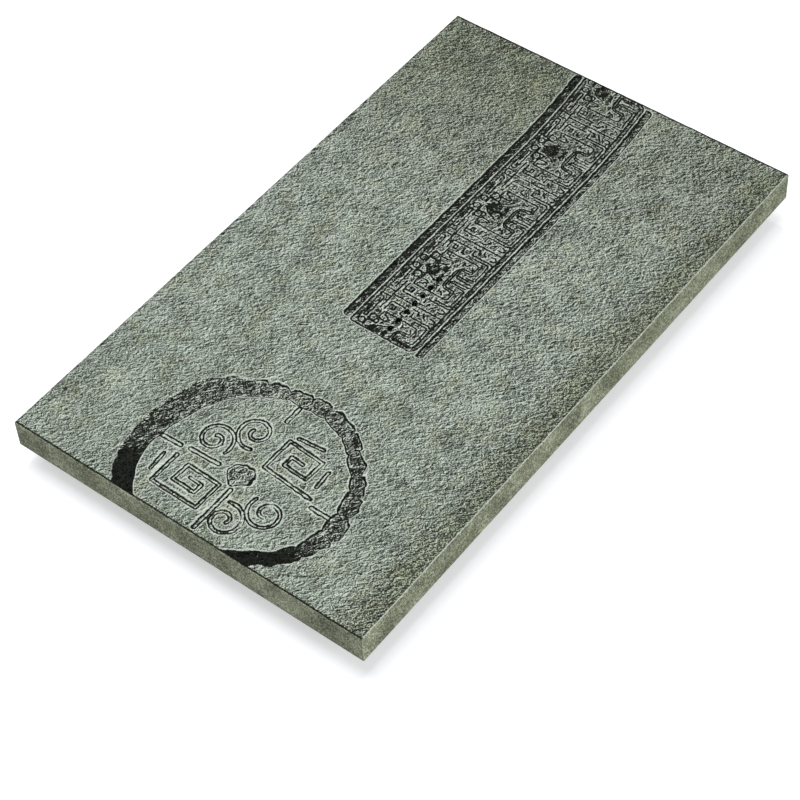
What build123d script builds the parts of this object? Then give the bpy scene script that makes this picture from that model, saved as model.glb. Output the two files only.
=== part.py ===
from build123d import *
import math
import os

os.makedirs("parts", exist_ok=True)

# The stone slab. It lies flat, length along X, and stands foot_height above the table.
slab_length = 500
slab_width = 300
slab_thick = 25
foot_height = 20
top_arris = 1.2
base_arris = 0.8
slab_base = foot_height
slab_top = foot_height + slab_thick

# The sunk fret band, which runs off the slab's far short edge and bends slightly there.
band_length = 295
band_width = 71
band_depth = 2.2
band_offset = -4.3
bend_length = 95
bend_rise = 6
border_line = 1.9
front_strip = 5.3
front_groove = 4
rear_strip = 6.6
rear_groove = 4.1
fret_pitch = 71.8
fret_line = 1.7
fret_rise = 1.6
fret_start = 36.7
fret_ring = 2.6
fret_ring_wall = 1.1
nose_radius = 3
band_near = slab_length / 2 - band_length
band_front = band_offset - band_width / 2
band_rear = band_offset + band_width / 2
field_front = band_front + front_strip + border_line + front_groove
field_rear = band_rear - rear_strip - border_line - rear_groove
fret_half = fret_pitch / 2
fret_count = int(band_length // fret_pitch)

# One half of the fret, from its divider to its middle, on a grid of cells.
fret_cells_across = 36
fret_cells_up = 48
fret_path_shares = [
    [(2, 47.5), (2, 43)],
    [(4.5, 45), (6.5, 47.3), (11, 47.3)],
    [(4.5, 43.8), (20, 43.8)],
    [(2, 40.3), (20, 40.3)],
    [(3, 38), (3, 21.6)],
    [(6.8, 35), (6.8, 30.7), (9.6, 30.7)],
    [(14, 37.8), (14, 4.5), (24.5, 4.5), (26.7, 6.6), (26.7, 16), (36, 16)],
    [(5, 19.4), (11, 19.4), (11, 0.9), (30.5, 0.9), (34, 4.4), (34, 12.5)],
    [(36, 20.7), (25.5, 20.7), (23.3, 22.9), (23.3, 30.7), (18.8, 30.7), (18.8, 36.5), (23.5, 36.5)],
    [(20, 18), (20, 10.5), (23.2, 10.5), (23.2, 15)],
    [(2, 17), (2, 1.2)],
    [(2, 15.4), (7.5, 15.4)],
    [(28.4, 36.8), (30, 31.8), (33.6, 29.4)],
    [(35.2, 46.5), (35.2, 38.5)],
]
fret_ring_shares = [(9.4, 35), (25, 40), (32.4, 45), (6, 6.2)]
nose_shares = (36, 33.5)

# The round medallion, a worn eaves-tile rim that runs off the slab's near short edge.
medal_x_inset = 55
medal_y = -4
medal_outer = 84
medal_inner = 68
medal_shift = 3
medal_depth = 2.4
scroll_depth = 0.9
scroll_line = 2.6
boss_radius = 8
boss_moat = 2
divider_line = 3.4
divider_reach = 24
scroll_turns = 1.35
scroll_steps = 40
scroll_radius = 15
scroll_eye = 3.2
scroll_place = 37
medal_x = medal_x_inset - slab_length / 2

# The drain: a row of holes through the band, opening into a milled trough underneath.
hole_count = 7
hole_pitch = 9.3
hole_radius = 2.5
hole_start = 10.2
hole_offset = -0.9
trough_margin = 4.5
trough_width = 9
trough_depth = 9
row_length = (hole_count - 1) * hole_pitch
drain_x = band_near + hole_start + row_length / 2
drain_y = band_offset + hole_offset
trough_length = row_length + 2 * (hole_radius + trough_margin)

# The collector pan screwed on under the trough, with its gasket and its hose spigot.
gasket_thick = 1
flange_thick = 2.5
flange_corner = 6
flange_lip = 10
flange_side = 7
pan_wall = 2
pan_floor = 2.5
pan_base = 5
pan_side_room = 3.5
pan_end_room = 3
pan_fillet = 2.5
gasket_inset = 0.5
spigot_radius = 4.5
spigot_bore = 3
spigot_length = 22
spigot_neck = 5
spigot_neck_length = 8
spigot_rise = 6.2
pan_inner_length = trough_length + 2 * pan_end_room
pan_inner_width = trough_width + 2 * pan_side_room
pan_outer_length = pan_inner_length + 2 * pan_wall
pan_outer_width = pan_inner_width + 2 * pan_wall
flange_length = pan_outer_length + 2 * flange_lip
flange_width = pan_outer_width + 2 * flange_side
gasket_base = slab_base - gasket_thick
flange_base = gasket_base - flange_thick
spigot_z = pan_base + spigot_rise
spigot_start = drain_y + pan_inner_width / 2
spigot_neck_end = drain_y + pan_outer_width / 2 + spigot_neck_length
spigot_tip = spigot_neck_end + spigot_length

# The four screws that hold the pan, and the brass anchors that they bite in.
screw_radius = 2
screw_length = 11
screw_head_radius = 3.8
screw_head_height = 2.3
screw_head_edge = 0.8
screw_drive = 2.5
screw_drive_depth = 1.3
screw_hole_room = 0.3
screw_room = 0.05
anchor_radius = 3.2
anchor_length = 9
anchor_room = 0.04
anchor_groove = 0.4
anchor_end_room = 3
screw_edge = 5
screw_dx = flange_length / 2 - screw_edge
screw_dy = flange_width / 2 - screw_edge

# One levelling foot: insert, stud, wheel, cup, clip and pad, on one upright axis.
foot_inset_x = 35
foot_inset_y = 35
pad_radius = 18
pad_thick = 3
pad_edge = 0.8
pad_groove = 0.8
pad_groove_width = 2
pad_groove_radius = 12
cup_radius = 16
cup_sink = 1
cup_flange = 2.2
cup_hub_radius = 10
cup_height = 6.7
cup_edge = 0.5
cup_floor = 2.4
collar_radius = 6
collar_height = 2.5
running_room = 0.05
clip_thick = 0.8
clip_bite = 0.7
clip_gap = 4
clip_lip = 1.4
clip_rise = 0.15
clip_room = 0.04
stud_radius = 4
stud_length = 27
stud_end = 0.8
wheel_radius = 13
wheel_height = 4
wheel_rise = 5
wheel_edge = 0.5
wheel_notches = 28
wheel_notch_radius = 0.9
insert_radius = 6
insert_length = 13
insert_room = 0.05
insert_groove = 0.5
stud_overrun = 5
pad_socket = pad_thick - cup_sink
socket_floor = pad_socket + cup_floor
collar_top = socket_floor + collar_height
clip_base = collar_top + clip_rise
cup_top = pad_socket + cup_height
wheel_base = socket_floor + wheel_rise
stud_top = socket_floor + stud_length
clip_outer = collar_radius + running_room + clip_bite

overrun = 5


def bent(x, y):
    """The place in the band of a point drawn as if the band were straight."""
    start = slab_length / 2 - bend_length
    past = max(x - start, 0) / bend_length
    return x, y + bend_rise * past**2


def ribbon(path, width):
    """The outline of a flat line of this width, mitred at each turn of its path."""
    steps = [(b[0] - a[0], b[1] - a[1]) for a, b in zip(path, path[1:])]
    normals = [(-dy / math.hypot(dx, dy), dx / math.hypot(dx, dy)) for dx, dy in steps]
    before = normals[:1] + normals
    after = normals + normals[-1:]
    left, right = [], []
    for (x, y), n, m in zip(path, before, after):
        reach = width / 2 / (1 + n[0] * m[0] + n[1] * m[1])
        side = ((n[0] + m[0]) * reach, (n[1] + m[1]) * reach)
        left.append((x + side[0], y + side[1]))
        right.append((x - side[0], y - side[1]))
    return left + right[::-1]


def band_strip(front, rear, near, far):
    """A lengthwise strip of the band, which follows its bend."""
    start = slab_length / 2 - bend_length
    middle = (start + far) / 2
    with BuildSketch() as strip:
        with BuildLine():
            Line((near, rear), (start, rear))
            ThreePointArc((start, rear), bent(middle, rear), bent(far, rear))
            Line(bent(far, rear), bent(far, front))
            ThreePointArc(bent(far, front), bent(middle, front), (start, front))
            Line((start, front), (near, front))
            Line((near, front), (near, rear))
        make_face()
    return strip.sketch


def fret_place(divider, side, cell):
    """A cell of the fret's grid, to one side of a divider, in the slab's frame."""
    across = cell[0] / fret_cells_across * fret_half
    up = cell[1] / fret_cells_up * (field_rear - field_front)
    return bent(divider + side * across, field_front + up)


def fret_half_unit(divider, side):
    """All raised lines and rings of one half of the fret."""
    with BuildSketch() as half:
        for path in fret_path_shares:
            with BuildLine():
                places = [fret_place(divider, side, cell) for cell in path]
                Polyline(*ribbon(places, fret_line), close=True)
            make_face()
        for cell in fret_ring_shares:
            with Locations(fret_place(divider, side, cell)):
                Circle(fret_ring)
                Circle(fret_ring - fret_ring_wall, mode=Mode.SUBTRACT)
        with Locations(fret_place(divider, side, nose_shares)):
            Circle(nose_radius)
    return half.sketch


def scroll_path(turn, flip):
    """A volute of the medallion: a line that winds in to its eye."""
    path = []
    for step in range(scroll_steps + 1):
        share = step / scroll_steps
        radius = scroll_radius + (scroll_eye - scroll_radius) * share
        angle = flip * scroll_turns * 2 * math.pi * share
        x = scroll_place - radius * math.cos(angle)
        y = radius * math.sin(angle)
        path.append((
            medal_x + x * math.cos(turn) - y * math.sin(turn),
            medal_y + x * math.sin(turn) + y * math.cos(turn),
        ))
    return path


# The slab, with the carving sunk in its top and the drain's cuts and blind holes below.
anchor_places = [(drain_x + i * screw_dx, drain_y + j * screw_dy) for i in (-1, 1) for j in (-1, 1)]
foot_x = slab_length / 2 - foot_inset_x
foot_y = slab_width / 2 - foot_inset_y
foot_places = {
    "front_left": (-foot_x, -foot_y),
    "front_right": (foot_x, -foot_y),
    "rear_left": (-foot_x, foot_y),
    "rear_right": (foot_x, foot_y),
}

with BuildPart() as slab:
    with BuildSketch(Plane.XY.offset(slab_base)):
        Rectangle(slab_length, slab_width)
    extrude(amount=slab_thick)
    chamfer(slab.faces().sort_by(Axis.Z)[-1].edges(), length=top_arris)
    chamfer(slab.faces().sort_by(Axis.Z)[0].edges(), length=base_arris)
    with BuildSketch(Plane.XY.offset(slab_top)):
        add(band_strip(band_front, band_rear, band_near, slab_length / 2 + overrun))
    extrude(amount=-band_depth, mode=Mode.SUBTRACT)
    with BuildSketch(Plane.XY.offset(slab_top - band_depth)):
        rear_line = band_rear - rear_strip
        front_line = band_front + front_strip
        add(band_strip(rear_line - border_line, rear_line, band_near, slab_length / 2))
        add(band_strip(front_line, front_line + border_line, band_near, slab_length / 2))
        for unit in range(fret_count):
            for side in (-1, 1):
                add(fret_half_unit(band_near + fret_start + unit * fret_pitch, side))
    extrude(amount=fret_rise)
    with BuildSketch(Plane.XY.offset(slab_top)):
        with Locations((medal_x, medal_y)):
            Circle(medal_outer)
        with Locations((medal_x - medal_shift, medal_y - medal_shift)):
            Circle(medal_inner, mode=Mode.SUBTRACT)
    extrude(amount=-medal_depth, mode=Mode.SUBTRACT)
    with BuildSketch(Plane.XY.offset(slab_top)):
        with Locations((medal_x, medal_y)):
            Circle(boss_radius + boss_moat)
            Circle(boss_radius, mode=Mode.SUBTRACT)
            with PolarLocations(medal_inner - divider_reach / 2, 4):
                SlotOverall(divider_reach, divider_line)
        for quarter in range(4):
            for flip in (-1, 1):
                with BuildLine():
                    turn = (quarter + 1 / 2 - flip / 4) * math.pi / 2
                    Polyline(*ribbon(scroll_path(turn, flip), scroll_line), close=True)
                make_face()
    extrude(amount=-scroll_depth, mode=Mode.SUBTRACT)
    with BuildSketch(Plane.XY.offset(slab_base)):
        with Locations((drain_x, drain_y)):
            SlotOverall(trough_length, trough_width)
    extrude(amount=trough_depth, mode=Mode.SUBTRACT)
    with BuildSketch(Plane.XY.offset(slab_base)):
        with Locations((drain_x, drain_y)):
            with GridLocations(hole_pitch, 0, hole_count, 1):
                Circle(hole_radius)
    extrude(amount=slab_thick + overrun, mode=Mode.SUBTRACT)
    with BuildSketch(Plane.XY.offset(slab_base)):
        with Locations(*anchor_places):
            Circle(anchor_radius + anchor_room)
    extrude(amount=anchor_length + anchor_end_room, mode=Mode.SUBTRACT)
    with BuildSketch(Plane.XY.offset(slab_base)):
        with Locations(*foot_places.values()):
            Circle(insert_radius + insert_room)
    extrude(amount=insert_length, mode=Mode.SUBTRACT)
    with BuildSketch(Plane.XY.offset(slab_base)):
        with Locations(*foot_places.values()):
            Circle(stud_radius + insert_groove)
    extrude(amount=stud_top + stud_overrun - slab_base, mode=Mode.SUBTRACT)
slab.part.label = "stone_slab"
export_step(slab.part, "parts/stone_slab.step")

# The pan: a flange against the gasket, a bowl below it and a spigot for a hose.
with BuildPart() as pan:
    with BuildSketch(Plane.XY.offset(flange_base)):
        with Locations((drain_x, drain_y)):
            RectangleRounded(flange_length, flange_width, flange_corner)
    extrude(amount=flange_thick)
    with BuildSketch(Plane.XY.offset(pan_base)):
        with Locations((drain_x, drain_y)):
            RectangleRounded(pan_outer_length, pan_outer_width, pan_outer_width / 2 - pan_wall / 2)
    extrude(amount=flange_base - pan_base)
    fillet(pan.faces().sort_by(Axis.Z)[0].edges(), radius=pan_fillet)
    with BuildSketch(Plane.XZ.offset(-spigot_start)):
        with Locations((drain_x, spigot_z)):
            Circle(spigot_neck)
    extrude(amount=spigot_start - spigot_neck_end)
    with BuildSketch(Plane.XZ.offset(-spigot_neck_end)):
        with Locations((drain_x, spigot_z)):
            Circle(spigot_radius)
    extrude(amount=spigot_neck_end - spigot_tip)
    with BuildSketch(Plane.XY.offset(pan_base + pan_floor)):
        with Locations((drain_x, drain_y)):
            RectangleRounded(pan_inner_length, pan_inner_width, pan_inner_width / 2 - pan_wall / 2)
    extrude(amount=gasket_base - pan_base, mode=Mode.SUBTRACT)
    with BuildSketch(Plane.XZ.offset(-drain_y)):
        with Locations((drain_x, spigot_z)):
            Circle(spigot_bore)
    extrude(amount=drain_y - spigot_tip - overrun, mode=Mode.SUBTRACT)
    with BuildSketch(Plane.XY.offset(flange_base)):
        with Locations(*anchor_places):
            Circle(screw_radius + screw_hole_room)
    extrude(amount=flange_thick, mode=Mode.SUBTRACT)
pan.part.label = "drain_pan"
export_step(pan.part, "parts/drain_pan.step")

with BuildPart() as gasket:
    with BuildSketch(Plane.XY.offset(gasket_base)):
        with Locations((drain_x, drain_y)):
            RectangleRounded(
                flange_length - 2 * gasket_inset,
                flange_width - 2 * gasket_inset,
                flange_corner - gasket_inset,
            )
            RectangleRounded(
                pan_inner_length,
                pan_inner_width,
                pan_inner_width / 2 - pan_wall / 2,
                mode=Mode.SUBTRACT,
            )
        with Locations(*anchor_places):
            Circle(screw_radius + screw_hole_room, mode=Mode.SUBTRACT)
    extrude(amount=gasket_thick)
gasket.part.label = "drain_gasket"
export_step(gasket.part, "parts/drain_gasket.step")

# The pan's fasteners, each kind one group of four.
with BuildPart() as screws:
    with BuildSketch(Plane.XY.offset(flange_base)):
        with Locations(*anchor_places):
            Circle(screw_head_radius)
    extrude(amount=-screw_head_height)
    fillet(screws.faces().group_by(Axis.Z)[0].edges(), radius=screw_head_edge)
    with BuildSketch(Plane.XY.offset(flange_base)):
        with Locations(*anchor_places):
            Circle(screw_radius)
    extrude(amount=screw_length)
    with BuildSketch(Plane.XY.offset(flange_base - screw_head_height)):
        with Locations(*anchor_places):
            RegularPolygon(screw_drive / 2, 6, major_radius=False)
    extrude(amount=screw_drive_depth, mode=Mode.SUBTRACT)
screws.part.label = "drain_screws"
export_step(screws.part, "parts/drain_screws.step")

with BuildPart() as anchors:
    with BuildSketch(Plane.XY.offset(slab_base)):
        with Locations(*anchor_places):
            Circle(anchor_radius)
            Circle(screw_radius + screw_room, mode=Mode.SUBTRACT)
    extrude(amount=anchor_length)
    for share in (1 / 3, 2 / 3):
        with BuildSketch(Plane.XY.offset(slab_base + anchor_length * share)):
            with Locations(*anchor_places):
                Circle(anchor_radius)
                Circle(anchor_radius - anchor_groove, mode=Mode.SUBTRACT)
        extrude(amount=anchor_groove, mode=Mode.SUBTRACT)
anchors.part.label = "drain_anchors"
export_step(anchors.part, "parts/drain_anchors.step")


def foot_section(x, y):
    """An upright plane through a foot's axis, its own X outward and its own Y up."""
    return Plane(origin=(x, y, 0), x_dir=(1, 0, 0), z_dir=(0, -1, 0))


def foot_axis(x, y):
    """The upright line that a foot's pieces are turned about."""
    return Axis((x, y, 0), (0, 0, 1))


def foot_pad(x, y):
    """The rubber pad, a shallow dish with one groove in its sole."""
    with BuildPart() as pad:
        with BuildSketch(foot_section(x, y)):
            with BuildLine():
                Polyline(
                    (0, 0),
                    (pad_radius - pad_edge, 0),
                    (pad_radius, pad_edge),
                    (pad_radius, pad_thick),
                    (cup_radius, pad_thick),
                    (cup_radius, pad_socket),
                    (0, pad_socket),
                    close=True,
                )
            make_face()
        revolve(axis=foot_axis(x, y))
        with BuildSketch(Plane(origin=(x, y, 0))):
            Circle(pad_groove_radius + pad_groove_width / 2)
            Circle(pad_groove_radius - pad_groove_width / 2, mode=Mode.SUBTRACT)
        extrude(amount=pad_groove, mode=Mode.SUBTRACT)
    return pad


def foot_cup(x, y):
    """The steel base cup, with a socket for the stud's collar and a clip groove."""
    bore = collar_radius + running_room
    with BuildPart() as cup:
        with BuildSketch(foot_section(x, y)):
            with BuildLine():
                Polyline(
                    (0, pad_socket),
                    (cup_radius, pad_socket),
                    (cup_radius, pad_socket + cup_flange - cup_edge),
                    (cup_radius - cup_edge, pad_socket + cup_flange),
                    (cup_hub_radius, pad_socket + cup_flange),
                    (cup_hub_radius, cup_top - cup_edge),
                    (cup_hub_radius - cup_edge, cup_top),
                    (bore, cup_top),
                    (bore, clip_base + clip_thick + clip_room),
                    (clip_outer + clip_room, clip_base + clip_thick + clip_room),
                    (clip_outer + clip_room, clip_base - clip_room),
                    (bore, clip_base - clip_room),
                    (bore, socket_floor),
                    (0, socket_floor),
                    close=True,
                )
            make_face()
        revolve(axis=foot_axis(x, y))
    return cup


def foot_clip(x, y):
    """The open snap ring that keeps the collar in the cup."""
    with BuildPart() as clip:
        with BuildSketch(Plane(origin=(x, y, clip_base))):
            Circle(clip_outer)
            Circle(collar_radius - clip_lip, mode=Mode.SUBTRACT)
            with Locations((clip_outer, 0)):
                Rectangle(2 * clip_outer, clip_gap, mode=Mode.SUBTRACT)
        extrude(amount=clip_thick)
    return clip


def foot_stud(x, y):
    """The steel stud: a collar that turns in the cup and a plain shank for the thread."""
    with BuildPart() as stud:
        with BuildSketch(foot_section(x, y)):
            with BuildLine():
                Polyline(
                    (0, socket_floor),
                    (collar_radius, socket_floor),
                    (collar_radius, collar_top),
                    (stud_radius, collar_top),
                    (stud_radius, stud_top - stud_end),
                    (stud_radius - stud_end, stud_top),
                    (0, stud_top),
                    close=True,
                )
            make_face()
        revolve(axis=foot_axis(x, y))
    return stud


def foot_wheel(x, y):
    """The notched thumbwheel pressed on the stud."""
    with BuildPart() as wheel:
        with BuildSketch(foot_section(x, y)):
            with BuildLine():
                Polyline(
                    (stud_radius, wheel_base),
                    (wheel_radius - wheel_edge, wheel_base),
                    (wheel_radius, wheel_base + wheel_edge),
                    (wheel_radius, wheel_base + wheel_height - wheel_edge),
                    (wheel_radius - wheel_edge, wheel_base + wheel_height),
                    (stud_radius, wheel_base + wheel_height),
                    close=True,
                )
            make_face()
        revolve(axis=foot_axis(x, y))
        with BuildSketch(Plane(origin=(x, y, wheel_base))):
            with PolarLocations(wheel_radius, wheel_notches):
                Circle(wheel_notch_radius)
        extrude(amount=wheel_height, mode=Mode.SUBTRACT)
    return wheel


def foot_insert(x, y):
    """The brass insert bonded in the slab, grooved outside and bored for the stud."""
    middle = slab_base + insert_length / 2
    with BuildPart() as insert:
        with BuildSketch(foot_section(x, y)):
            with BuildLine():
                Polyline(
                    (stud_radius + running_room, slab_base),
                    (insert_radius, slab_base),
                    (insert_radius, middle - insert_groove),
                    (insert_radius - insert_groove, middle),
                    (insert_radius, middle + insert_groove),
                    (insert_radius, slab_base + insert_length),
                    (stud_radius + running_room, slab_base + insert_length),
                    close=True,
                )
            make_face()
        revolve(axis=foot_axis(x, y))
    return insert


makers = {
    "pad": foot_pad,
    "cup": foot_cup,
    "clip": foot_clip,
    "stud": foot_stud,
    "wheel": foot_wheel,
    "insert": foot_insert,
}
for corner, (corner_x, corner_y) in foot_places.items():
    for kind, make in makers.items():
        piece = make(corner_x, corner_y)
        piece.part.label = f"foot_{kind}_{corner}"
        export_step(piece.part, f"parts/foot_{kind}_{corner}.step")
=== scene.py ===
import math

import bmesh
import bpy
import numpy as np
from mathutils import Matrix, Vector


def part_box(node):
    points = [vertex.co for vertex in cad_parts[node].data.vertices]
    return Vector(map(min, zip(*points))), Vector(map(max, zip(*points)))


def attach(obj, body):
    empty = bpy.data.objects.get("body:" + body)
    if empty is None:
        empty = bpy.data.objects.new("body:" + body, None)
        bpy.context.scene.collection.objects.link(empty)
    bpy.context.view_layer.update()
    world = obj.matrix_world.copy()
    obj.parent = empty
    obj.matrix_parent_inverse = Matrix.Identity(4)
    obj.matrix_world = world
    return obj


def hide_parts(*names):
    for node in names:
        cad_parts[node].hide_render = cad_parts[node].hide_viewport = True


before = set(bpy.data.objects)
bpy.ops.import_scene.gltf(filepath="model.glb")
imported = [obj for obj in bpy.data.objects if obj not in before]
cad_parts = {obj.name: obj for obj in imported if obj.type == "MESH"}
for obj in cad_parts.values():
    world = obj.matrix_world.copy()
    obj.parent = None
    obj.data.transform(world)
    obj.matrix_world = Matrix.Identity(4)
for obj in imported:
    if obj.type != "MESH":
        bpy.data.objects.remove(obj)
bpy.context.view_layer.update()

MM = 0.001

# The slab, from the frame, the size of its coarsest cells and into how many parts a side they divide,
# its worn edges, and how deep its grain and its skin are.
SLAB_LOW, SLAB_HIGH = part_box("stone_slab")
TOP = SLAB_HIGH.z
BASE = SLAB_LOW.z
HALF_LENGTH = SLAB_HIGH.x
HALF_WIDTH = SLAB_HIGH.y
COARSE = 2.7 * MM
FINEST = 4
ARRIS = 0.7 * MM
BASE_ARRIS = 0.8 * MM
# How much shade is painted on the worn arris all round.
ARRIS_DARKNESS = 0.25
DARKEST = 1.3
GRAIN = 0.6 * MM
SKIN = 0.45 * MM

# The sunk fret band with its borders, how far its edges wander, and the shape of every cut line.
BAND_NEAR = HALF_LENGTH - 295 * MM
BAND_MIDDLE = -4.3 * MM
BAND_WIDTH = 71 * MM
BEND_LENGTH = 95 * MM
BEND_RISE = 6 * MM
STRIP_INSET = 1.8 * MM
REAR_STRIP = 6.3 * MM
FRONT_STRIP = 5.7 * MM
BORDER_RIB = 2.0 * MM
CHANNEL = 2.9 * MM
CHANNEL_ENDS_BELOW = -11 * MM
FRONT_CORNER = 6.5 * MM
REAR_CORNER = 2 * MM
WOBBLE = 0.3 * MM
FINE_WOBBLE = 0.25 * MM
WALL_SLOPE = 0.4 * MM
OPEN_SLOPE = 0.5 * MM
CUT_WIDTH = 0.8 * MM
CUT_DEPTH = 0.9 * MM
CUT_FLOOR = 0.1 * MM
CUT_SLOPE_END = 0.9 * MM
CUT_REACH = 2 * MM
STRIP_DEPTH = 1.5 * MM
CHANNEL_DEPTH = 0.8 * MM
FIELD_DEPTH = 0.35 * MM
BAND_REAR = BAND_MIDDLE + BAND_WIDTH / 2
BAND_FRONT = BAND_MIDDLE - BAND_WIDTH / 2
INNER_REAR = BAND_REAR - REAR_STRIP - BORDER_RIB
INNER_FRONT = BAND_FRONT + FRONT_STRIP + BORDER_RIB

# The cut lines of one half of the fret, in millimetres from its divider and from its front edge, and
# the places and radii of its rings. The nose and the mouth are rough hollows.
FRET_PITCH = 71.8 * MM
FRET_START = BAND_NEAR + 36.7 * MM
FRET_FRONT = -29 * MM
FRET_LINES = [
    [(0, 42), (0, 1)],
    [(0, 41.4), (15.3, 41.4)],
    [(6, 48), (5.3, 46.5), (6.8, 44.9), (26.6, 44.9), (26.8, 47.3), (15, 47.3)],
    [(2.8, 42.8), (2.9, 47.5)],
    [(8.6, 46.9), (11, 46.6)],
    [(14.5, 38.3), (6.6, 38.3), (5.7, 37.4), (5.7, 22.7)],
    [(5.5, 19.2), (10.2, 19), (10.2, 2.5), (11.5, 0.6)],
    [(12.5, 14.5), (12.5, 3.3), (13.6, 2.1), (29.2, 2.1), (30.2, 3.2), (30.2, 9.2)],
    [(8.6, 36.8), (8.6, 32.1), (12.1, 32), (12.3, 34.5), (10.2, 34.5)],
    [(8.4, 26.5), (12.5, 26.8), (13, 23.4)],
    [(16.9, 36.6), (16.1, 35), (16.5, 33.5), (16.3, 22), (16.4, 9.4), (17.4, 7.7), (24.9, 7.5),
     (26.2, 8.8), (26.5, 15.6), (27.9, 17.1), (36, 17.3)],
    [(20.3, 11), (21.8, 9.5), (24, 9.2), (24.8, 16), (26.2, 18), (28.4, 18.9), (36, 19.2)],
    [(19.3, 18.1), (22.3, 18.1)],
    [(21, 18), (20.8, 15.2), (18.6, 13.6)],
    [(16.9, 36.6), (22.3, 36.7), (23.7, 35.4), (23.6, 30), (22.6, 27.8)],
    [(16.8, 34.2), (19.1, 34.3), (19.8, 31), (21.5, 30.3), (21, 28.4)],
    [(21.5, 41.6), (23, 42.6), (26.8, 42.4)],
    [(24.8, 35.8), (25.6, 34.8), (27.8, 34.6), (28.6, 36.2), (28.5, 41.6)],
    [(26.7, 43), (29.3, 42), (34.3, 42)],
    [(34.8, 40), (33.8, 38), (31.3, 36), (29.8, 33), (28.3, 29), (26.5, 26.6)],
    [(29.2, 15.5), (31.6, 15.3), (32.1, 14), (32.2, 3)],
    [(32.5, 15.6), (34.3, 14), (34.6, 2)],
    [(30.8, 22.5), (33, 24), (36, 24.3)],
    [(4.0, 6.5), (3.8, 3), (5, 1.4), (6.8, 1.8), (7.5, 4.5)],
    [(2.6, 12.6), (4.4, 12), (7, 9.3)],
    [(3.2, 22), (3.4, 16), (7, 15.4)],
]
FRET_RINGS = [(25.2, 39.7, 2.8), (31.5, 45.5, 2.5), (6, 14.6, 0.4)]
NOSE = (36 * MM, 33.5 * MM)
NOSE_RADIUS = 10 * MM
NOSE_DEPTH = 1.3 * MM
MOUTH = (33 * MM, 25 * MM)
MOUTH_RADIUS = 7 * MM

# The round medallion. Its rim's radii, one every RIM_STEP degrees, and the places on its key scrolls
# and dividers are in millimetres from its middle.
MEDAL = Vector((55 * MM - HALF_LENGTH, -4 * MM))
RIM_STEP = 15
RIM_FIRST = -165
RIM_OUTER = [68, 71, 74, 79, 82.5, 86, 84.5, 84, 82.5, 84, 83.5, 82,
             80.5, 82.5, 87, 88.5, 85.5, 85, 86, 86.3, 86.5, 86, 85, 76]
RIM_INNER = [60, 61, 62.5, 67, 70, 70.5, 71.5, 73, 71.5, 72.5, 71.5, 69,
             70, 68, 67.5, 66, 64.5, 66, 69.5, 71, 72, 69, 66, 62]
RIM_DEPTH = 1.5 * MM
RIM_JAG = 1.5 * MM
RIM_FINE_JAG = 0.6 * MM
KNOB_COUNT = 27
KNOB_BULGE = 3.2 * MM
KNOB_MIDDLE = 40
SCROLL_PLACE = 37 * MM
SCROLL_RADIUS = 14.5 * MM
SCROLL_EYE = 3.2 * MM
SCROLL_TURNS = 1.35
SCROLL_QUARTERS = (0, 2)
STROKE_WIDTH = 2.3 * MM
STROKE_DEPTH = 0.5 * MM
KEY_SCROLLS = [
    [(-11, 46), (-37, 46), (-37.5, 7), (-14, 6.5), (-13, 34), (-28, 35), (-28.5, 16), (-21, 16),
     (-20.5, 26)],
    [(-15, 54), (-30, 53)],
    [(12, -50), (15, -8), (42, -8.5), (40, -38), (23, -37), (24, -18), (32, -18), (31.5, -28)],
    [(47, -12), (49, -32)],
    [(22, -47), (36, -46)],
]
DIVIDERS = [
    ((-4, 66), (-3.5, 49)),
    ((-2, 42), (-1, 18)),
    ((7, -55), (7, -71)),
    ((-50, -2.5), (-13, -2.5)),
    ((54, 4), (67, 4)),
]
DIVIDER_WIDER = 0.3 * MM
BOSS_RADIUS = 9 * MM

# The drain holes in the band, and the trough and blind holes in the underside.
HOLE_RADIUS = 2.5 * MM
HOLE_LIP = 0.25 * MM
HOLE_WEAR = 0.6 * MM
HOLE_ROUGH_DEPTH = 2.5 * MM
HOLE_PITCH = 9.3 * MM
HOLE_COUNT = 7
DRAIN = Vector((BAND_NEAR + 10.2 * MM + HOLE_PITCH * (HOLE_COUNT - 1) / 2, BAND_MIDDLE - 0.9 * MM))
TROUGH_LENGTH = HOLE_PITCH * (HOLE_COUNT - 1) + 2 * (HOLE_RADIUS + 4.5 * MM)
TROUGH_WIDTH = 9 * MM
TROUGH_DEPTH = 9 * MM
ANCHOR_AWAY = Vector((44.9 * MM, 12 * MM))
ANCHOR_STEPS = [(3.24 * MM, 12 * MM)]
INSERT_STEPS = [(6.05 * MM, 13 * MM), (4.5 * MM, 16.4 * MM)]
BORE_SIDES = 64

# Where the slab's faces lie in the bake map: boxes from their low u and v to their high u and v.
TOP_BOX = (0.005, 0.4, 0.995, 0.995)
FRONT_BOX = (0.005, 0.296, 0.995, 0.344)
REAR_BOX = (0.005, 0.348, 0.995, 0.396)
LEFT_BOX = (0.5, 0.24, 0.99, 0.285)
RIGHT_BOX = (0.5, 0.19, 0.99, 0.235)
TROUGH_BOX = (0.5, 0.165, 0.99, 0.185)
UNDERSIDE_BOX = (0.005, 0.005, 0.48, 0.29)

# The lie of the grain on the split top, the height of its bumps, and each noise's scale per metre.
GRAIN_ANGLE = -49
GRAIN_STRETCH = 1.6
# The step between the two noise lookups whose difference paints light and shade on the grain's
# slopes.
GRAIN_STEP = 0.7 * MM
BUMP_HEIGHT = 3 * MM
RELIEF_SCALE = 430
CRAG_SCALE = 190
WORM_SCALE = 880
PATCH_SCALE = 130
DRIFT_SCALE = 55
FINE_SCALE = 1150
STAIN_SCALE = 48
DOT_SCALE = 780
FRAY_SCALE = 900
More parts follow.
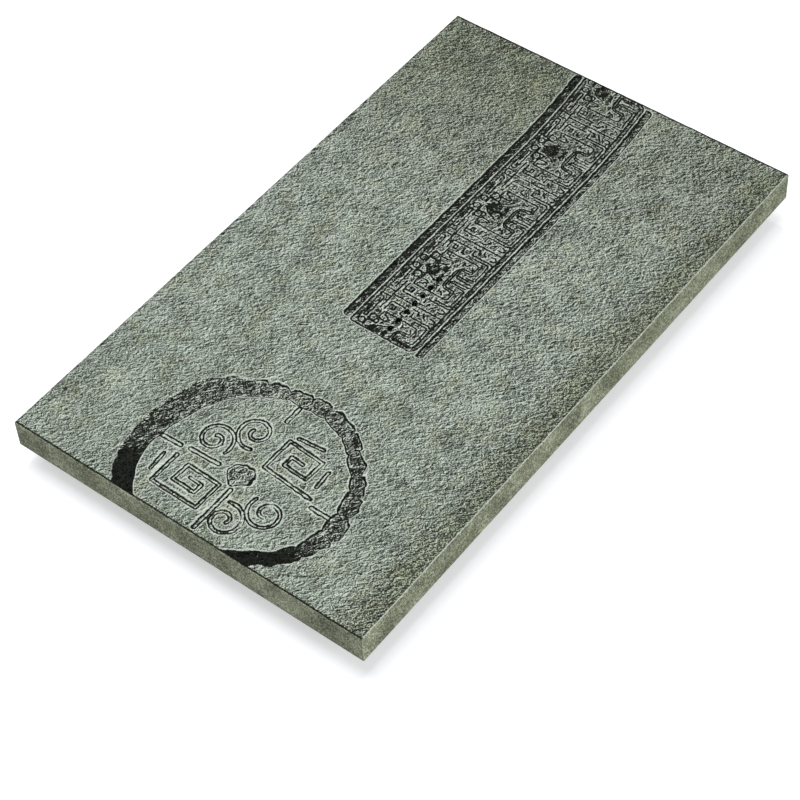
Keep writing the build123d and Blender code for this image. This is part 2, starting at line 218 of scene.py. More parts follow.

# How light the split top is, and how far each noise and the carving change that. The contrast on the
# grain's slopes and on the crag noise paints light and shade as if lit from one side, the pit
# darkness paints shade into the hollows of the bump, the contrast over the darker far end and front
# edge follows a mask that is partly painted falloff of the light, and the carved darkness is partly
# dirt and partly painted shade in the carved hollows.
MEAN_TONE = 0.464
SLOPE_SHADE_CONTRAST = 3.0
FINE_CONTRAST = 1.05
DRIFT_CONTRAST = 0.35
PATCH_CONTRAST = 0.48
CRAG_SHADE_CONTRAST = 4.5
FALLOFF_AND_WEATHERED_CONTRAST = 1.4
CARVED_CONTRAST = 1.6
PIT_SHADE = 0.25
CARVED_DARKNESS = 0.45
FRAY = 0.35
FRAY_LENGTH = 4 * MM

# The stone's colours as a screen shows them, along a tone or alone. The first tint is partly
# weather-worn stone and partly painted shade for the lights' falloff, the pale colour after the dots
# is a painted highlight, and the two blackest are partly dirt and partly painted shade.
SPLIT_COLOURS = [
    (0.1, (9, 11, 8)), (0.35, (62, 70, 60)), (0.5, (128, 138, 126)), (0.64, (163, 174, 162)),
    (0.85, (198, 207, 196)),
]
SAWN_COLOURS = [
    (0.41, (38, 41, 27)), (0.465, (92, 97, 75)), (0.515, (134, 140, 114)), (0.58, (204, 210, 184)),
]
FALLOFF_AND_WEATHERED_TINT = (212, 214, 195)
STAIN_TINT = (250, 243, 220)
DOT_COLOUR = (54, 54, 46)
PAINTED_HIGHLIGHT_COLOUR = (206, 214, 203)
SOOT_AND_SHADE_COLOUR = (4, 5, 4)
WORN_SOOT_AND_SHADE_COLOUR = (38, 41, 36)

# The studs of the feet.
STUD_RADIUS = 4 * MM
COLLAR_HEIGHT = 2.5 * MM
CHAMFER = 0.4 * MM
THREAD_PITCH = 1.25 * MM
THREAD_DEPTH = 0.62 * MM
THREAD_SIDES = 40
CORNERS = ("front_left", "front_right", "rear_left", "rear_right")

# The camera's azimuth, elevation and roll, its place from the middle of the top and its focal length.
CAMERA_ANGLES = (-49.276, 50.529, -3.858)
CAMERA_RIGHT = -10.466 * MM
CAMERA_UP = -74.589 * MM
CAMERA_BACK = 1687.2 * MM
CAMERA_LENS = 108.36

# The lights: name, place, aim, size and power.
LAMPS = [
    ("window", (0.4, -0.1, 3.6), (0, 0, 0), 1.2, 42),
    ("edge", (1.5, 0.6, 2.9), (0, 0, 0), 0.25, 20),
    ("rake", (-0.25, 0.9, 2.2), (0, 0, 0), 0.9, 16),
    ("glow", (-0.24, 0.02, 0.8), (-0.2, 0.02, 0), 0.5, 2.8),
    ("fill", (-0.3, -2.1, 0.8), (0, 0, 0), 1.4, 22.5),
]
SKY_COLOUR = (0.96, 0.98, 1, 1)
SKY_STRENGTH = 0.32
WHITE = (1, 1, 1, 1)


def lattice_noise(x, y, size, seed):
    """Smooth noise from about -1 to 1, with a random slope at each corner of cells of this size."""
    angles = np.random.default_rng(seed).uniform(0, 2 * math.pi, (256, 256))
    u, v = x / size, y / size
    i, j = np.floor(u).astype(int), np.floor(v).astype(int)
    u, v = u - i, v - j
    ease_u, ease_v = u * u * (3 - 2 * u), v * v * (3 - 2 * v)

    def corner(a, b):
        angle = angles[(i + a) % 256, (j + b) % 256]
        return np.cos(angle) * (u - a) + np.sin(angle) * (v - b)

    low = corner(0, 0) * (1 - ease_u) + corner(1, 0) * ease_u
    high = corner(0, 1) * (1 - ease_u) + corner(1, 1) * ease_u
    return 1.5 * (low * (1 - ease_v) + high * ease_v)


def layered_noise(x, y, size, seed, layers=3):
    """Layers of smooth noise, each finer and fainter than the one before."""
    total = np.zeros_like(x)
    for layer in range(layers):
        total += lattice_noise(x, y, size / 2**layer, seed + layer) / 2**layer
    return total / 1.5


def ease(value, start, end):
    """0 at start, 1 at end and smooth between."""
    share = np.clip((value - start) / (end - start), 0, 1)
    return share * share * (3 - 2 * share)


def path_distance(x, y, path):
    """The distance of each point to a line through these places."""
    nearest = np.full_like(x, np.inf)
    for (ax, ay), (bx, by) in zip(path, path[1:]):
        dx, dy = bx - ax, by - ay
        along = np.clip(((x - ax) * dx + (y - ay) * dy) / (dx * dx + dy * dy), 0, 1)
        nearest = np.minimum(nearest, np.hypot(x - ax - along * dx, y - ay - along * dy))
    return nearest


def cut_depth(away):
    """The depth of a cut line at this distance from its middle."""
    return CUT_DEPTH * (1 - ease(away, CUT_FLOOR, CUT_SLOPE_END))


def bend(x):
    """How far the band has turned towards the rear at x."""
    return BEND_RISE * (np.maximum(x - HALF_LENGTH + BEND_LENGTH, 0) / BEND_LENGTH) ** 2


def fret_distance(x, y):
    """The distance to the nearest cut line of the fret, and how near its noses and mouths are."""
    across = np.abs((x - FRET_START + FRET_PITCH / 2) % FRET_PITCH - FRET_PITCH / 2)
    up = y - FRET_FRONT
    nearest = np.full_like(x, np.inf)
    for path in FRET_LINES:
        nearest = np.minimum(nearest, path_distance(across / MM, up / MM, path) * MM)
    for ring_x, ring_y, radius in FRET_RINGS:
        ring = np.hypot(across - ring_x * MM, up - ring_y * MM)
        nearest = np.minimum(nearest, np.abs(ring - radius * MM))
    nose = 1 - np.hypot(across - NOSE[0], (up - NOSE[1]) * 1.1) / NOSE_RADIUS
    mouth = 0.6 - 0.6 * np.hypot((across - MOUTH[0]) * 0.7, (up - MOUTH[1]) * 1.5) / MOUTH_RADIUS
    return nearest, np.maximum(nose, mouth)


def box_inset(x, y, box, front_corner, rear_corner):
    """How far a point lies inside a box whose front and rear corners are rounded."""
    low_x, low_y, high_x, high_y = box
    corner = np.where(y < (low_y + high_y) / 2, front_corner, rear_corner)
    out_x = np.maximum(low_x + corner - x, x - high_x + corner)
    out_y = np.maximum(low_y + corner - y, y - high_y + corner)
    outside = np.hypot(np.maximum(out_x, 0), np.maximum(out_y, 0))
    return corner - outside - np.minimum(np.maximum(out_x, out_y), 0)


def strip_inset(x, y):
    """How far a point lies inside the band's two rough outer strips."""
    rear = (BAND_NEAR + STRIP_INSET, BAND_REAR - REAR_STRIP, HALF_LENGTH - STRIP_INSET, BAND_REAR)
    front = (BAND_NEAR, BAND_FRONT, HALF_LENGTH - 2 * STRIP_INSET, BAND_FRONT + FRONT_STRIP)
    return np.maximum(
        box_inset(x, y, rear, REAR_CORNER / 2, REAR_STRIP / 2),
        box_inset(x, y, front, FRONT_STRIP / 2, REAR_CORNER / 2),
    )


def band_carving(x, y):
    """The band's depth and darkness at points of the slab's top, and the distance to a cut line."""
    wobble = WOBBLE * lattice_noise(x, y, 5 * MM, seed=11)
    wobble += FINE_WOBBLE * lattice_noise(x, y, 2.2 * MM, seed=12)
    drift = WOBBLE * lattice_noise(x, y, 4 * MM, seed=17)
    rough = layered_noise(x, y, 4.2 * MM, seed=13)
    worn = ease(layered_noise(x, y, 15 * MM, seed=16), 0.05, 0.7)
    y = y - bend(x) + wobble
    x = x + drift
    strip = strip_inset(x, y)
    inner = (BAND_NEAR + CUT_WIDTH / 2, INNER_FRONT, HALF_LENGTH - CUT_WIDTH, INNER_REAR)
    inside = box_inset(x, y, inner, FRONT_CORNER, REAR_CORNER)
    to_end = np.minimum(x - inner[0], inner[2] - x)
    open_end = (to_end < inside + OPEN_SLOPE) & (y > CHANNEL_ENDS_BELOW)
    channel_line = np.where(open_end, np.inf, np.abs(inside - CHANNEL))
    in_field = np.where(open_end, inside > OPEN_SLOPE, inside > CHANNEL)
    fret, nose = fret_distance(x, y)
    fret = np.where(in_field, fret, np.inf)
    away = np.minimum(np.abs(strip - CUT_WIDTH / 2), np.minimum(np.abs(inside), channel_line))
    away = np.minimum(away + 0.1 * MM * worn, fret + 0.25 * MM * worn)
    in_strip, in_inner = ease(strip, 0, WALL_SLOPE), ease(inside, 0, WALL_SLOPE)
    nose = ease(nose + 0.35 * rough, 0.1, 0.55) * in_field
    field_depth = FIELD_DEPTH * (1 + 0.5 * rough)
    ground_depth = np.where(in_field, field_depth, CHANNEL_DEPTH * (1 + 0.4 * rough))
    depth = in_inner * np.maximum(ground_depth, nose * NOSE_DEPTH)
    depth += in_strip * STRIP_DEPTH * (1 + 0.4 * rough)
    depth = np.maximum(depth, cut_depth(away))
    near_end = 1 - ease(x, BAND_NEAR + 5 * MM, BAND_NEAR + 45 * MM)
    front = y < BAND_MIDDLE
    shade = in_strip * (0.9 - 0.16 * front - 0.06 * near_end + 0.36 * rough)
    ground = np.where(in_field, 0.54 + 0.42 * rough, 0.8 + 0.3 * rough)
    shade = np.maximum(shade, in_inner * np.maximum(ground, nose * (1.05 + 0.7 * rough)))
    return depth, shade, away


def rim_radius(angle, radii):
    """A radius read round the circle from an evenly spaced list, smoothly."""
    radii = np.array(radii) * MM
    place = (np.degrees(angle) - RIM_FIRST) / RIM_STEP
    i = np.floor(place).astype(int)
    share = ease(place - i, 0, 1)
    return radii[i % len(radii)] * (1 - share) + radii[(i + 1) % len(radii)] * share


def scroll_paths():
    """The round cloud scrolls inside the medallion: a pair in each of two quarters."""
    paths = []
    for quarter in SCROLL_QUARTERS:
        for flip in (-1, 1):
            turn = (quarter + 1 / 2 - flip / 4) * math.pi / 2
            path = []
            for share in np.linspace(0, 1, 41):
                radius = SCROLL_RADIUS + (SCROLL_EYE - SCROLL_RADIUS) * share
                angle = flip * SCROLL_TURNS * 2 * math.pi * share
                place = Vector((SCROLL_PLACE - radius * math.cos(angle), radius * math.sin(angle)))
                path.append(MEDAL + Matrix.Rotation(turn, 2) @ place)
            paths.append(path)
    return paths


def stroke_distance(x, y):
    """The distance to the nearest carved stroke inside the medallion, less for the wider dividers."""
    nearest = np.full_like(x, np.inf)
    for path in scroll_paths():
        nearest = np.minimum(nearest, path_distance(x, y, path))
    for paths, wider in ((KEY_SCROLLS, 0), (DIVIDERS, DIVIDER_WIDER)):
        for path in paths:
            path = [MEDAL + Vector(place) * MM for place in path]
            nearest = np.minimum(nearest, path_distance(x, y, path) - wider)
    return nearest


def rim_carving(x, y, radius, angle):
    """The depth and darkness of the medallion's rough rim, and its nearest edge or crease."""
    rough = layered_noise(x, y, 6.5 * MM, seed=21) + 0.6 * layered_noise(x, y, 3 * MM, seed=24)
    jag = RIM_JAG * lattice_noise(x, y, 8 * MM, seed=27)
    jag += RIM_FINE_JAG * lattice_noise(x, y, 3 * MM, seed=28)
    knobs = ease(np.cos(angle + math.radians(KNOB_MIDDLE)), -0.05, 0.45)
    turn = np.abs(np.sin((angle * KNOB_COUNT + 3.2 * lattice_noise(x, y, 15 * MM, seed=29)) / 2))
    crease = turn * radius * 2 / KNOB_COUNT + MM * (1.6 - 1.4 * knobs + 0.9 * rough)
    outer = rim_radius(angle, RIM_OUTER) - KNOB_BULGE * (1 - turn) ** 2 * knobs + jag
    inner = rim_radius(angle, RIM_INNER) + 0.5 * KNOB_BULGE * (1 - turn) ** 2 * knobs + 0.35 * jag
    inset = np.minimum(outer - radius, radius - inner)
    rim = ease(inset, -0.1 * MM, 0.5 * MM)
    from_edge = x + HALF_LENGTH + 0.2 * np.abs(y - MEDAL.y) + 5 * MM * rough
    near_edge = 1 - ease(from_edge, 20 * MM, 62 * MM)
    top_left = ease(y - 0.6 * x, 135 * MM, 185 * MM)
    front = ease(-np.sin(angle), 0.2, 0.8)
    shade = rim * (0.61 + 0.75 * near_edge + 0.18 * top_left + 0.12 * front + 0.4 * rough)
    away = np.minimum(np.abs(radius - inner), np.abs(outer - radius) + 1.2 * MM * (1 - knobs))
    away = np.where(inset > 0, np.minimum(away, crease), away)
    return rim * RIM_DEPTH * (0.8 + 0.4 * near_edge + 0.8 * rough), shade, away, inner


def medal_carving(x, y):
    """The medallion's depth and darkness at points of the slab's top, and the distance to a cut."""
    radius, angle = np.hypot(x - MEDAL.x, y - MEDAL.y), np.arctan2(y - MEDAL.y, x - MEDAL.x)
    rough = layered_noise(x, y, 4 * MM, seed=22)
    depth, shade, away, inner = rim_carving(x, y, radius, angle)
    stroke = stroke_distance(x, y) + 0.55 * MM * layered_noise(x, y, 4 * MM, seed=25)
    worn = ease(layered_noise(x, y, 11 * MM, seed=38), 0, 0.8)
    wall = np.where(radius < inner, np.abs(stroke - STROKE_WIDTH / 2) + 0.45 * MM * worn, np.inf)
    floor_share = (1 - ease(stroke, 0.3 * STROKE_WIDTH, 0.6 * STROKE_WIDTH)) * (radius < inner)
    boss = BOSS_RADIUS + 2.2 * MM * lattice_noise(x, y, 6 * MM, seed=26) - radius
    in_boss = ease(boss, 0, 0.5 * MM)
    away = np.minimum(np.minimum(away, wall + 10 * MM * in_boss), np.abs(boss))
    depth = np.maximum(depth, floor_share * STROKE_DEPTH * (1 + 0.4 * rough))
    depth = np.maximum(depth, in_boss * (0.7 + 0.7 * rough) * MM)
    depth = np.maximum(depth, cut_depth(away))
    filled = 0.1 + 0.5 * ease(layered_noise(x, y, 30 * MM, seed=39, layers=2), 0, 0.6)
    filled = np.maximum(filled, 0.55 * (1 - ease(x + HALF_LENGTH, 18 * MM, 45 * MM)))
    filled *= floor_share * (1 - in_boss)
    shade = np.maximum(shade, np.maximum(in_boss * (0.42 + 0.3 * rough), filled))
    return depth, shade, away


def stone_surface(x, y):
    """How far the slab's top lies below its highest level, its darkness, and the nearest cut line.

    The distance to the cut line is a share of CUT_REACH."""
    carving, shade = np.zeros_like(x), np.zeros_like(x)
    away = np.full_like(x, CUT_REACH)
    v = y - bend(x)
    margin = 3 * MM
    in_medal = np.hypot(x - MEDAL.x, y - MEDAL.y) < max(RIM_OUTER) * MM + 5 * MM
    in_band = (x > BAND_NEAR - margin) & (v > BAND_FRONT - margin) & (v < BAND_REAR + margin)
    for near, carve in ((in_medal, medal_carving), (in_band, band_carving)):
        carving[near], shade[near], away[near] = carve(x[near], y[near])
    carving *= ease(HALF_LENGTH - np.abs(x), 0.5 * MM, 3 * MM)
    warp = 1.5 * MM * lattice_noise(x, y, 9 * MM, seed=31)
    swell = layered_noise(x + warp, y - warp, 13 * MM, seed=32, layers=2)
    grain = layered_noise(x - warp, y + warp, 6 * MM, seed=34, layers=3)
    quiet = 1 - 0.6 * ease(carving, 0.1 * MM, 0.5 * MM)
    skin = SKIN - quiet * GRAIN * (0.4 * swell + 0.55 * grain)
    depth = np.clip(skin, 0.02 * MM, None) + np.maximum(carving, 0)
    return depth, np.clip(shade, 0, DARKEST), np.minimum(away, CUT_REACH) / CUT_REACH


def cell_levels(across, along):
    """Into how many parts a side each coarse cell of the top is divided: 1, 2 or 4."""
    x = (np.arange(across) + 0.5) / across * 2 * (HALF_LENGTH - ARRIS) - HALF_LENGTH + ARRIS
    y = (np.arange(along) + 0.5) / along * 2 * (HALF_WIDTH - ARRIS) - HALF_WIDTH + ARRIS
    x, y = np.meshgrid(x, y, indexing="ij")
    levels = np.ones(x.shape, int)
    radius = np.hypot(x - MEDAL.x, y - MEDAL.y)
    angle = np.arctan2(y - MEDAL.y, x - MEDAL.x)
    outer, inner = rim_radius(angle, RIM_OUTER), rim_radius(angle, RIM_INNER)
    levels[(radius < outer + 2 * COARSE) & (radius > inner - 2 * COARSE)] = 2
    levels[(np.abs(radius - outer) < 1.2 * COARSE) | (np.abs(radius - inner) < 0.8 * COARSE)] = FINEST
    near_stroke = stroke_distance(x, y) < (STROKE_WIDTH + CUT_WIDTH + COARSE) / 2
    fine = near_stroke | (radius < BOSS_RADIUS + 2 * MM)
    levels[(radius < max(RIM_INNER) * MM) & fine] = FINEST
    v = y - bend(x)
    levels[(x > BAND_NEAR - COARSE) & (v > BAND_FRONT - COARSE) & (v < BAND_REAR + COARSE)] = FINEST
    return levels


def top_faces(levels):
    """Which places of the finest lattice the top uses, and its faces as lists of those places.

    A face beside finer ones takes their corners into its edges, so that the skin stays closed."""
    used = np.zeros([side * FINEST + 1 for side in levels.shape], bool)
    blocks = []
    for level in (1, 2, FINEST):
        span = FINEST // level
        i, j = np.nonzero(levels == level)
        for a in range(level):
            for b in range(level):
                block = np.stack([i * FINEST + a * span, j * FINEST + b * span], 1)
                blocks.append((span, block))
                for corner in ((0, 0), (span, 0), (span, span), (0, span)):
                    used[block[:, 0] + corner[0], block[:, 1] + corner[1]] = True
    faces = []
    for span, block in blocks:
        for i, j in block.tolist():
            ring = [(i + k, j) for k in range(span)] + [(i + span, j + k) for k in range(span)]
            ring += [(i + span - k, j + span) for k in range(span)]
            ring += [(i, j + span - k) for k in range(span)]
            faces.append([place for place in ring if used[place]])
    return used, faces


def rectangle_ring(columns, rows):
    """The outermost places of a lattice, in order round it."""
    ring = [(i, 0) for i in range(columns - 1)] + [(columns - 1, j) for j in range(rows - 1)]
    ring += [(i, rows - 1) for i in range(columns - 1, 0, -1)]
    return ring + [(0, j) for j in range(rows - 1, 0, -1)]


def edge_ring(bm, verts):
    """The edges of the closed ring that joins these vertices in order."""
    return [bm.edges.get(pair) or bm.edges.new(pair) for pair in zip(verts, verts[1:] + verts[:1])]


def bridge(bm, first, second):
    """The faces between two closed rings with as many vertices."""
    faces = []
    for k in range(len(first)):
        near, far = k - 1, k
        faces.append(bm.faces.new((first[near], first[far], second[far], second[near])))
    return faces


def flat_fill(bm, *rings):
    """The flat face inside the first ring and outside the others, in triangles."""
    edges = [edge for ring in rings for edge in edge_ring(bm, ring)]
    filled = bmesh.ops.triangle_fill(
        bm, use_beauty=True, use_dissolve=False, edges=edges, normal=(0, 0, 1)
    )["geom"]
    return [item for item in filled if isinstance(item, bmesh.types.BMFace)]


def slot_ring(bm, middle, length, width, z):
    """A ring of vertices round a slot with round ends."""
    ring = []
    for k in range(BORE_SIDES):
        angle = 2 * math.pi * (k + 0.5) / BORE_SIDES
        side = math.copysign(max(length - width, 0) / 2, math.cos(angle))
        x = middle.x + side + width / 2 * math.cos(angle)
        ring.append(bm.verts.new((x, middle.y + width / 2 * math.sin(angle), z)))
    return ring


def lay_out(bm, faces, box, plan):
    """Lays these faces out in a box of the bake map. plan gives two coordinates of a place on one."""
    layer = bm.loops.layers.uv["OFBake"]
    flat = []
    for face in faces:
        middle = face.calc_center_median()
        flat += [(loop, plan(loop.vert.co, middle)) for loop in face.loops]
    places = np.array([place for loop, place in flat])
    low, high = places.min(0), places.max(0)
    scaled = (places - low) / np.maximum(high - low, 1e-9)
    scaled = np.array(box[:2]) + scaled * (np.array(box[2:]) - np.array(box[:2]))
    for (loop, place), spot in zip(flat, scaled.tolist()):
        loop[layer].uv = spot


def seen_from_above(place, middle):
    """A place's coordinates in a plan view."""
    return place.x, place.y


def seen_from_front(place, middle):
    """A place's coordinates in a front view."""
    return place.x, place.z


def seen_from_side(place, middle):
    """A place's coordinates in a side view."""
    return place.y, place.z


def unrolled(centre):
    """A plan that unrolls a round wall about this centre."""

    def plan(place, middle):
        start = math.atan2(middle.y - centre.y, middle.x - centre.x)
        turn = math.atan2(place.y - centre.y, place.x - centre.x) - start
        turn = (turn + math.pi) % (2 * math.pi) - math.pi
        return start + turn, place.z

    return plan


def small_boxes():
    """Small boxes of the bake map, one for each hidden wall, one after another."""
    for k in range(60):
        u, v = 0.5 + 0.048 * (k % 10), 0.005 + 0.028 * (k // 10)
        yield u, v, u + 0.044, v + 0.024


def hole_places():
    """The middles of the drain holes."""
    first = DRAIN.x - HOLE_PITCH * (HOLE_COUNT - 1) / 2
    return [Vector((first + k * HOLE_PITCH, DRAIN.y)) for k in range(HOLE_COUNT)]


def bore(bm, middle, steps, boxes):
    """A blind hole in the underside, in steps of radius and depth. Returns its mouth."""
    mouth, level = slot_ring(bm, middle, 0, 2 * steps[0][0], BASE), None
    ring = mouth
    for k, (radius, depth) in enumerate(steps):
        if k:
            ring = slot_ring(bm, middle, 0, 2 * radius, level[0].co.z)
            lay_out(bm, bridge(bm, level, ring), next(boxes), seen_from_above)
        level = slot_ring(bm, middle, 0, 2 * radius, BASE + depth)
        lay_out(bm, bridge(bm, ring, level), next(boxes), unrolled(middle))
    lay_out(bm, flat_fill(bm, level), next(boxes), seen_from_above)
    return mouth


def drain_hole(bm, middle, border, boxes):
    """Rounds the gap in the top at this place and sinks it to the trough. Returns its lower ring."""
    rim = [v for v in border if (v.co.xy - middle).length < HOLE_RADIUS + COARSE]
    rim.sort(key=lambda v: math.atan2(v.co.y - middle.y, v.co.x - middle.x))
    darkness = bm.verts.layers.float["darkness"]
    cut = bm.verts.layers.float["cut"]
    worn, lower, end = [], [], []
    for v in rim:
        away = (v.co.xy - middle).normalized()
        angle = math.atan2(away.y, away.x)
        bulge = 0.09 * math.sin(3 * angle + 90 * middle.x / MM) + 0.05 * math.sin(5 * angle)
        radius = HOLE_RADIUS * (1 + bulge - 0.1 * abs(math.sin(angle)))
        v.co.xy = middle + away * (radius + HOLE_LIP)
        worn.append(bm.verts.new((*(middle + away * radius), v.co.z - HOLE_WEAR)))
        lower.append(bm.verts.new((*(middle + away * HOLE_RADIUS), v.co.z - HOLE_ROUGH_DEPTH)))
        end.append(bm.verts.new((*(middle + away * HOLE_RADIUS), BASE + TROUGH_DEPTH)))
        # The hole's walls take full darkness: painted shade down the hole.
        for vertex in (worn[-1], lower[-1], end[-1]):
            vertex[darkness] = vertex[cut] = 1
    walls = bridge(bm, rim, worn) + bridge(bm, worn, lower) + bridge(bm, lower, end)
    lay_out(bm, walls, next(boxes), unrolled(middle))
    return end


def side_rings(bm, ring):
    """The rings of vertices down the slab's worn arris, sawn sides and lower arris."""
    rings = [ring]
    x, y = np.array([v.co.x for v in ring]), np.array([v.co.y for v in ring])
    corners = []
    for v, worn in zip(ring, lattice_noise(x, y, 7 * MM, seed=41).tolist()):
        out = Vector([
            math.copysign(side, c) if abs(c) > side - ARRIS - 0.01 * MM else c
            for c, side in ((v.co.x, HALF_LENGTH), (v.co.y, HALF_WIDTH))
        ])
        corners.append((v.co.copy(), out, min(TOP - ARRIS * (1.1 + 0.45 * worn), v.co.z - 0.25 * MM)))
    for out_share, down_share in ((0.62, 0.25), (1, 1)):
        rings.append([
            bm.verts.new((*top.xy.lerp(out, out_share), top.z + (edge - top.z) * down_share))
            for top, out, edge in corners
        ])
    darkness = bm.verts.layers.float["darkness"]
    cut = bm.verts.layers.float["cut"]
    # Painted shade on the arris, most in its middle.
    for inner, middle, outer in zip(*rings):
        inner[darkness] = max(inner[darkness], ARRIS_DARKNESS / 2)
        middle[darkness], outer[darkness] = ARRIS_DARKNESS, ARRIS_DARKNESS / 2
        middle[cut] = outer[cut] = 1
    foot = BASE + BASE_ARRIS
    for share in (0.2, 0.4, 0.6, 0.8, 1):
        rings.append([bm.verts.new((*out, edge + (foot - edge) * share)) for _, out, edge in corners])
    inset = Vector((1 - BASE_ARRIS / HALF_LENGTH, 1 - BASE_ARRIS / HALF_WIDTH))
    rings.append([bm.verts.new((out.x * inset.x, out.y * inset.y, BASE)) for _, out, _ in corners])
    return rings


def slab_sides(bm, ring):
    """The slab's arrises and sides. Returns the ring round its underside."""
    rings = side_rings(bm, ring)
    for k, (first, second) in enumerate(zip(rings, rings[1:])):
        for face in bridge(bm, first, second):
            face.material_index = 0 if k == 0 else 1
    return rings[-1]


def side_layout(bm, faces):
    """Lays out the four sides, one strip of the bake map each."""
    strips = {
        (0, -1): (FRONT_BOX, seen_from_front),
        (0, 1): (REAR_BOX, seen_from_front),
        (-1, 0): (LEFT_BOX, seen_from_side),
        (1, 0): (RIGHT_BOX, seen_from_side),
    }
    sides = {key: [] for key in strips}
    for face in faces:
        middle = face.calc_center_median()
        gaps = {
            (0, -1): middle.y + HALF_WIDTH, (0, 1): HALF_WIDTH - middle.y,
            (-1, 0): middle.x + HALF_LENGTH, (1, 0): HALF_LENGTH - middle.x,
        }
        sides[min(gaps, key=gaps.get)].append(face)
    for key, (box, plan) in strips.items():
        lay_out(bm, sides[key], box, plan)


def slab_underside(bm, outer, drains, boxes):
    """The slab's underside with its trough, and the blind holes of the feet and the pan's anchors."""
    slot = slot_ring(bm, DRAIN, TROUGH_LENGTH, TROUGH_WIDTH, BASE)
    ceiling = slot_ring(bm, DRAIN, TROUGH_LENGTH, TROUGH_WIDTH, BASE + TROUGH_DEPTH)
    lay_out(bm, bridge(bm, slot, ceiling), TROUGH_BOX, unrolled(DRAIN))
    lay_out(bm, flat_fill(bm, ceiling, *drains), next(boxes), seen_from_above)
    mouths = [slot]
    for corner in CORNERS:
        low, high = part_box("foot_insert_" + corner)
        mouths.append(bore(bm, (low.xy + high.xy) / 2, INSERT_STEPS, boxes))
    for side_x in (-1, 1):
        for side_y in (-1, 1):
            middle = DRAIN + Vector((side_x * ANCHOR_AWAY.x, side_y * ANCHOR_AWAY.y))
            mouths.append(bore(bm, middle, ANCHOR_STEPS, boxes))
    lay_out(bm, flat_fill(bm, outer, *mouths), UNDERSIDE_BOX, seen_from_above)


def slab_mesh():
    """The carved slab as one closed mesh, with how dark it is carved in each vertex."""
    levels = cell_levels(round(2 * HALF_LENGTH / COARSE), round(2 * HALF_WIDTH / COARSE))
    used, faces = top_faces(levels)
    i, j = np.nonzero(used)
    x = (2 * i / (used.shape[0] - 1) - 1) * (HALF_LENGTH - ARRIS)
    y = (2 * j / (used.shape[1] - 1) - 1) * (HALF_WIDTH - ARRIS)
    depth, shade, away = stone_surface(x, y)
    holed = np.zeros(len(x), bool)
    for middle in hole_places():
        holed |= np.hypot(x - middle.x, y - middle.y) < HOLE_RADIUS + 0.35 * MM
    bm = bmesh.new()
    bm.loops.layers.uv.new("OFBake")
    darkness = bm.verts.layers.float.new("darkness")
    cut = bm.verts.layers.float.new("cut")
    at = {}
    places = np.stack([x, y, TOP - depth], 1)
    for a, b, place, dark, far, gone in zip(i, j, places, shade, away, holed):
        if not gone:
            at[a, b] = bm.verts.new(place)
            at[a, b][darkness] = dark
            at[a, b][cut] = far
    whole = [face for face in faces if all(place in at for place in face)]
    top = [bm.faces.new([at[place] for place in face]) for face in whole]
    outer = [at[place] for place in rectangle_ring(*used.shape) if place in at]
    known = set(outer)
    border = {v for v in at.values() if v not in known and any(e.is_boundary for e in v.link_edges)}
    lay_out(bm, top, TOP_BOX, seen_from_above)
    boxes = small_boxes()
    drains = [drain_hole(bm, middle, border, boxes) for middle in hole_places()]
    count = len(bm.faces)
    bottom = slab_sides(bm, outer)
    bm.faces.ensure_lookup_table()
    side_layout(bm, bm.faces[count:])
    count = len(bm.faces)
    slab_underside(bm, bottom, drains, boxes)
    bm.faces.ensure_lookup_table()
    for face in bm.faces[count:]:
        face.material_index = 1
    bmesh.ops.delete(bm, geom=[v for v in bm.verts if not v.link_faces], context="VERTS")
    bmesh.ops.recalc_face_normals(bm, faces=bm.faces)
    mesh = bpy.data.meshes.new("tray_stone")
    bm.to_mesh(mesh)
    bm.free()
    return mesh


def shown(mesh, body, slot, *materials, stands_for=()):
    """A new piece of the object that rides on a body and stands for these CAD nodes."""
    piece = bpy.data.objects.new(mesh.name, mesh)
    bpy.context.scene.collection.objects.link(piece)
    for material in materials:
        mesh.materials.append(material)
    mesh.shade_smooth()
    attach(piece, body)
    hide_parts(*stands_for)
    return piece


def threaded_stud(corner):
    """A stud with a rolled thread above its plain collar."""
    low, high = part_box("foot_stud_" + corner)
    middle = (low.xy + high.xy) / 2
    collar = (high.x - low.x) / 2
    collar_top = low.z + COLLAR_HEIGHT
    crest = STUD_RADIUS
    outline = [
        (collar - CHAMFER, low.z), (collar, low.z + CHAMFER), (collar, collar_top - CHAMFER),
        (collar - CHAMFER, collar_top), (crest - THREAD_DEPTH, collar_top),
    ]
    bm = bmesh.new()
    turns = [2 * math.pi * k / THREAD_SIDES for k in range(THREAD_SIDES)]

    def ring_at(radius_at, z):
        ring = []
        for angle in turns:
            radius = radius_at(angle)
            place = (middle.x + radius * math.cos(angle), middle.y + radius * math.sin(angle), z)
            ring.append(bm.verts.new(place))
        return ring

    def thread_radius(z):
        def radius(angle):
            share = (z / THREAD_PITCH + angle / (2 * math.pi)) % 1
            flank = min(1, max(0, 1.6 * (1 - abs(2 * share - 1)) - 0.2))
            taper = min(1, (high.z - z) / THREAD_PITCH)
            return crest - THREAD_DEPTH * (1 - flank * taper)
        return radius

    rings = [ring_at(lambda angle, r=radius: r, z) for radius, z in outline]
    steps = round((high.z - collar_top) / THREAD_PITCH * 6)
    for k in range(1, steps + 1):
        z = collar_top + (high.z - collar_top) * k / steps
        rings.append(ring_at(thread_radius(z), z))
    bm.faces.new(rings[0])
    for first, second in zip(rings, rings[1:]):
        bridge(bm, first, second)
    bm.faces.new(rings[-1])
    bmesh.ops.recalc_face_normals(bm, faces=bm.faces)
    mesh = bpy.data.meshes.new("threaded_stud_" + corner)
    bm.to_mesh(mesh)
    bm.free()
    return mesh


